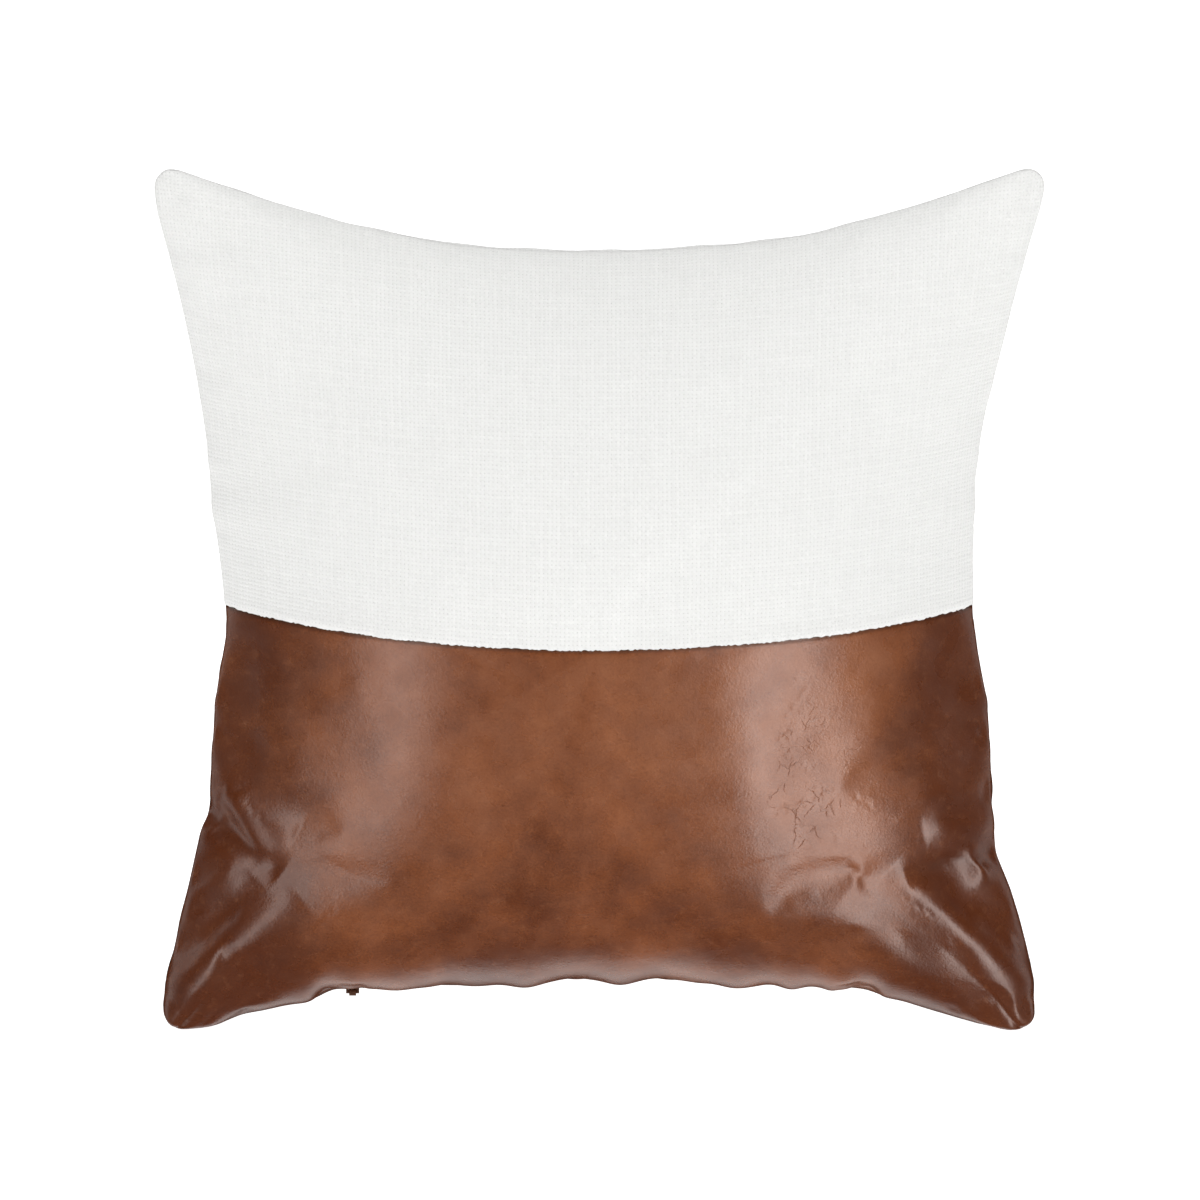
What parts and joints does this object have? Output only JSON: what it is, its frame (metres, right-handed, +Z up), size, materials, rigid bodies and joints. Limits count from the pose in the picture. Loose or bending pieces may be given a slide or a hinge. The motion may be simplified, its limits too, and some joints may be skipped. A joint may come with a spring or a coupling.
{
  "type": "throw pillow",
  "caption": "Square stuffed throw pillow with a woven upper half, a leather lower half, a concealed zip in its bottom seam and a removable insert.",
  "frame": {"origin": "under the middle of the pillow, at the level of the two bottom corners it stands on", "axes": "+Z up, -Y is the front face, +X to the right seen from the front"},
  "size_m": [0.43, 0.17, 0.4307],
  "materials": {
    "woven_cloth": "matte",
    "leather": "satin",
    "thread": "matte",
    "label_tape": "satin",
    "zip_tape": "matte",
    "zip_teeth": "satin",
    "zip_metal": "satin",
    "casing_cloth": "matte",
    "fibre": "matte"
  },
  "bodies": {
    "pillow": {"front_fabric_panel": "woven_cloth", "back_fabric_panel": "woven_cloth", "front_leather_panel": "leather", "back_leather_panel": "leather", "side_seam_stitching": "thread", "front_cross_seam_stitching": "thread", "back_cross_seam_stitching": "thread", "cover_care_label": "label_tape", "zipper_tape_front": "zip_tape", "zipper_tape_back": "zip_tape", "zipper_teeth_front": "zip_teeth", "zipper_teeth_back": "zip_teeth", "zipper_top_stops": "zip_metal", "zipper_bottom_stop": "zip_metal", "zipper_stitching": "thread", "insert_casing_front": "casing_cloth", "insert_casing_back": "casing_cloth", "insert_seam_stitching": "thread", "insert_closing_stitches": "thread", "insert_care_label": "label_tape", "fibre_fill": "fibre"},
    "slider": {"zipper_slider": "zip_metal"},
    "pull": {"zipper_pull_tab": "zip_metal"}
  },
  "joints": [
    {"name": "zip_slide", "type": "slide", "parent": "pillow", "child": "slider", "axis": [1, 0, 0], "range_m": [0, 0.242]},
    {"name": "pull_hinge", "type": "hinge", "parent": "slider", "child": "pull", "pos_m": [-0.121, 0, 0.0174], "axis": [1, 0, 0], "range_deg": [-220, 0]}
  ]
}
